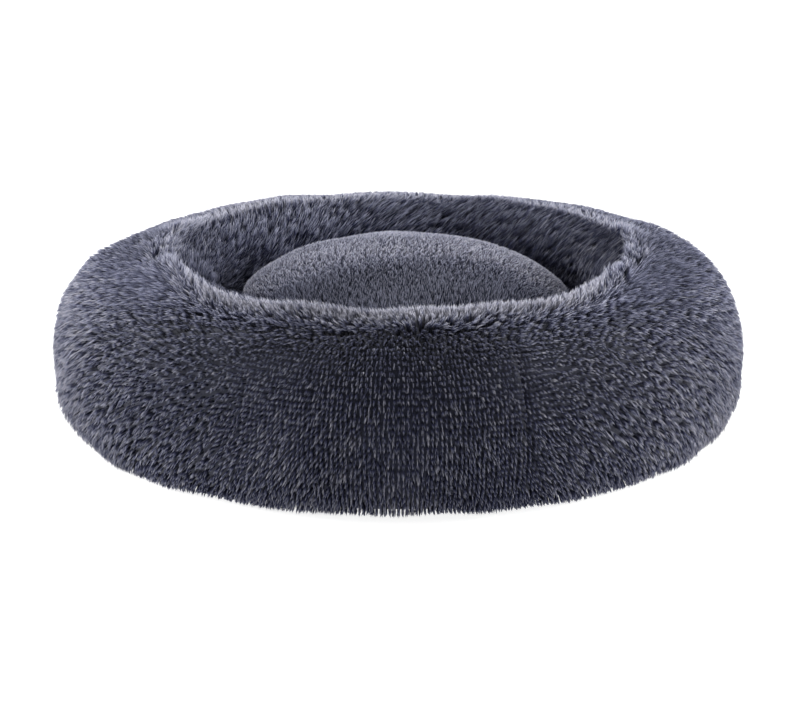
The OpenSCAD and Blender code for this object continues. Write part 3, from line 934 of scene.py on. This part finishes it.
# name, from and to along the ring, row height, columns, strands per tuft, tuft radius, pieces
RING_ZONES = (("wall", 0.0015, S_RIM_LOW, 0.0056, 500, 6, 0.0012, 8),
              ("rim", S_RIM_LOW, S_RIM_HIGH, 0.0038, 470, 9, 0.0020, 4),
              ("well", S_RIM_HIGH, S_WAIST, 0.0050, 400, 7, 0.0020, 5),
              ("foot", S_WAIST, RING_LEN - 0.004, 0.0056, 300, 4, 0.0018, 2))
# the same for the cushion, with the distance between columns
CUSHION_ZONES = (("top", 0.002, 0.205, 0.0034, 0.0032, 8, 0.0018, 8),
                 ("side", 0.205, 0.300, 0.0050, 0.0045, 5, 0.0018, 4))
PILE_SEEDS = {"left_ring_skin": 101, "right_ring_skin": 102, "cushion": 103}

for name, cad, a0, a1 in HALVES:
    rng = np.random.default_rng(PILE_SEEDS[name])
    half = name.split("_")[0]
    span = a1 - a0
    for zone, s0, s1, row, columns, per, spread, count in RING_ZONES:
        phi, s = tuft_places(s0, s1, row, columns, rng, ring_jitter)
        rel = (phi - a0) % TAU
        keep = rel < span
        phi, s, rel = phi[keep], s[keep], rel[keep]
        for k in range(count):
            pick = (rel >= span * k / count) & (rel < span * (k + 1) / count)
            data = grow(ring, phi[pick], s[pick], ring_field, per, spread, rng)
            strands_mesh(f"{half}_{zone}_pile_{k + 1:02d}", *data, RING_FUR, "bed", "ring_fur",
                         RING_FLOOR)

rng = np.random.default_rng(PILE_SEEDS["cushion"])
for zone, s0, s1, row, pitch, per, spread, count in CUSHION_ZONES:
    phi, s = tuft_places(s0, s1, row, lambda s: TAU * dome_radius(s) / pitch, rng,
                         lambda phi, s: 0.35)
    for k in range(count):
        pick = (phi % TAU >= TAU * k / count) & (phi % TAU < TAU * (k + 1) / count)
        data = grow(dome, phi[pick], s[pick], dome_field, per, spread, rng)
        strands_mesh(f"cushion_{zone}_pile_{k + 1:02d}", *data, CUSHION_FUR, "cushion",
                     "cushion_fur", CUSHION_FLOOR)

# ---------------------------------------------------------------- stitches and zip coils


def rods(name, ends, bow, radius, sides=6):
    """Small rounded stitches between the two rows of ends, each bowed up or down by bow."""
    starts, ends = ends
    n = len(starts)
    sag = np.array([[0.0, 0.0, 1.0]]) * bow + 0 * starts
    t = unit(ends - starts)
    up = unit(sag)
    b = np.cross(t, up)
    profile = ((0.0, 0.25), (0.12, 0.8), (0.5, 1.0), (0.88, 0.8), (1.0, 0.25))
    rows = len(profile)
    a = (np.arange(sides) / sides * TAU)[None, :, None]
    verts = np.empty((n, rows * sides, 3))
    for i, (u, w) in enumerate(profile):
        c = starts + (ends - starts) * u + sag * (4 * u * (1 - u))
        verts[:, i * sides:(i + 1) * sides] = c[:, None] + radius * w * (
            b[:, None] * np.cos(a) + up[:, None] * np.sin(a))
    loops, first = [], []
    for i in range(rows - 1):
        for k in range(sides):
            k2 = (k + 1) % sides
            first.append(len(loops))
            loops += [i * sides + k, i * sides + k2, (i + 1) * sides + k2, (i + 1) * sides + k]
    for row, order in ((0, range(sides - 1, -1, -1)), (rows - 1, range(sides))):
        first.append(len(loops))
        loops += [row * sides + k for k in order]
    loops, first = np.array(loops), np.array(first)
    base = np.arange(n)[:, None]
    mesh = make_mesh(name, verts.reshape(-1, 3), (base * rows * sides + loops[None]).ravel(),
                     (base * len(loops) + first[None]).ravel())
    dress(link(name, mesh), THREAD, "bed")


def circle_stitches(radius, z, pitch=0.0042, length=0.0033):
    n = int(TAU * radius / pitch)
    phi = np.arange(n) / n * TAU
    half = length / radius / 2
    return [np.stack([radius * np.cos(phi + h), radius * np.sin(phi + h), np.full(n, z)], 1)
            for h in (-half, half)]


def line_stitches(x0, x1, y, z, pitch=0.0038, length=0.0029):
    x = np.arange(x0, x1, pitch)
    return [np.stack([x + h, np.full(len(x), y), np.full(len(x), z)], 1) for h in (0.0, length)]


def joined(rows):
    return np.concatenate([r[0] for r in rows]), np.concatenate([r[1] for r in rows])


STITCH_R, STITCH_BOW, STITCH_PROUD = 0.00022, 0.0001, 0.00005
base_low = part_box("front_base_panel")[0].z
well_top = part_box("well_floor_panel")[1].z
tape_lo, tape_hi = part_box("rear_zip_tape")
label_lo, label_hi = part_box("care_label")
zip_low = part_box("front_zip_tape")[0].z - 0.0010      # the cloth over the tapes
rods("zip_stitches", joined([line_stitches(tape_lo.x + 0.004, tape_hi.x - 0.006, sign * y, zip_low)
                             for sign in (-1, 1) for y in (0.0078, 0.0118)]),
     -STITCH_BOW, STITCH_R)
rods("base_stitches", circle_stitches(0.2835, base_low - STITCH_PROUD), -STITCH_BOW, STITCH_R)
rods("well_stitches", joined([circle_stitches(r, well_top + STITCH_PROUD)
                              for r in (0.1905, 0.1865)]), STITCH_BOW, 0.00024)
rods("label_stitches", joined([line_stitches(label_lo.x + 0.002, label_hi.x - 0.004, y,
                                             label_lo.z - 0.00003, 0.003, 0.0022)
                               for y in (label_lo.y + 0.0015, label_hi.y - 0.0015)]),
     -0.00008, 0.00016)

WIRE_R, COIL_PITCH, COIL_STEPS, WIRE_SIDES = 0.00034, 0.0013, 12, 5


def coil(name, cad, flip):
    """A nylon zip coil: one monofilament wound inside the room of its CAD node."""
    lo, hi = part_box(cad)
    cy, cz = (lo.y + hi.y) / 2, (lo.z + hi.z) / 2
    ry, rz = (hi.y - lo.y) / 2 - WIRE_R, (hi.z - lo.z) / 2 - WIRE_R
    turns = int((hi.x - lo.x - 2 * WIRE_R) / COIL_PITCH)
    n = turns * COIL_STEPS + 1
    t = np.arange(n) / COIL_STEPS * TAU
    x = lo.x + WIRE_R + np.arange(n) / COIL_STEPS * COIL_PITCH
    c, s = np.cos(t), np.sin(t)
    shape = np.sign(c) * np.abs(c) ** 0.8             # a squarer turn than a circle
    path = np.stack([x, cy + flip * ry * shape, cz + rz * s], 1)
    tan = unit(np.gradient(path, axis=0))
    out = unit(np.stack([0 * x, flip * c, s], 1))
    out = unit(out - tan * (out * tan).sum(1, keepdims=True))
    b = np.cross(tan, out)
    a = (np.arange(WIRE_SIDES) / WIRE_SIDES * TAU)[None, :, None]
    verts = path[:, None] + WIRE_R * (out[:, None] * np.cos(a) + b[:, None] * np.sin(a))
    idx = np.arange(n * WIRE_SIDES).reshape(n, WIRE_SIDES)
    p, q = idx[:-1], idx[1:]
    quads = np.stack([p, np.roll(p, -1, 1), np.roll(q, -1, 1), q], -1).reshape(-1, 4)
    loops = np.concatenate([quads.ravel(), idx[0][::-1], idx[-1]])
    starts = np.concatenate([np.arange(0, quads.size, 4), [quads.size, quads.size + WIRE_SIDES]])
    mesh = make_mesh(name, verts.reshape(-1, 3), loops, starts)
    dress(link(name, mesh), NYLON, "bed", cad)


coil("front_coil", "front_zip_coil", 1)
coil("rear_coil", "rear_zip_coil", -1)

# ---------------------------------------------------------------- stage and light

FLOOR = 14.0             # half the floor's side
FLOOR_GLOW = 0.88        # the floor shines a little, so that it is as white as the backdrop
WORLD_LIGHT = 0.42
WHITE = (1.0, 1.0, 1.0, 1.0)

floor_mesh = bpy.data.meshes.new("floor")
floor_mesh.from_pydata([(-FLOOR, -FLOOR, 0), (FLOOR, -FLOOR, 0), (FLOOR, FLOOR, 0),
                        (-FLOOR, FLOOR, 0)], [], [(0, 1, 2, 3)])
floor = link("floor", floor_mesh)
floor.location.z = -0.0002
floor_mat, nt, bsdf = new_material("floor_white")
bsdf.inputs["Base Color"].default_value = (0.30, 0.30, 0.30, 1.0)
bsdf.inputs["Emission Color"].default_value = WHITE
bsdf.inputs["Emission Strength"].default_value = FLOOR_GLOW
bsdf.inputs["Roughness"].default_value = 0.9
floor_mesh.materials.append(floor_mat)

world = bpy.data.worlds.new("world")
bpy.context.scene.world = world
world.use_nodes = True
background = world.node_tree.nodes["Background"]
background.inputs[0].default_value = WHITE
background.inputs[1].default_value = WORLD_LIGHT


def lamp(name, kind, place, target, energy):
    """A light at place that looks at target. A sun's place only gives its direction."""
    d = bpy.data.lights.new(name, kind)
    d.energy = energy
    o = link(name, d)
    o.location = place
    o.rotation_euler = (Vector(target) - Vector(place)).to_track_quat("-Z", "Y").to_euler()
    return d


sun = lamp("top_light", "SUN", (0.0, 0.70, 1.0), (0.0, 0.0, 0.0), 5.4)
sun.angle = math.radians(40)
for name, x in (("left_light", -2.2), ("right_light", 2.2)):
    panel = lamp(name, "AREA", (x, -0.2, 0.7), (0.0, 0.0, 0.08), 92)
    panel.shape = "RECTANGLE"
    panel.size, panel.size_y = 1.0, 1.0

view = bpy.context.scene.view_settings
view.view_transform = "Standard"
view.look = "None"
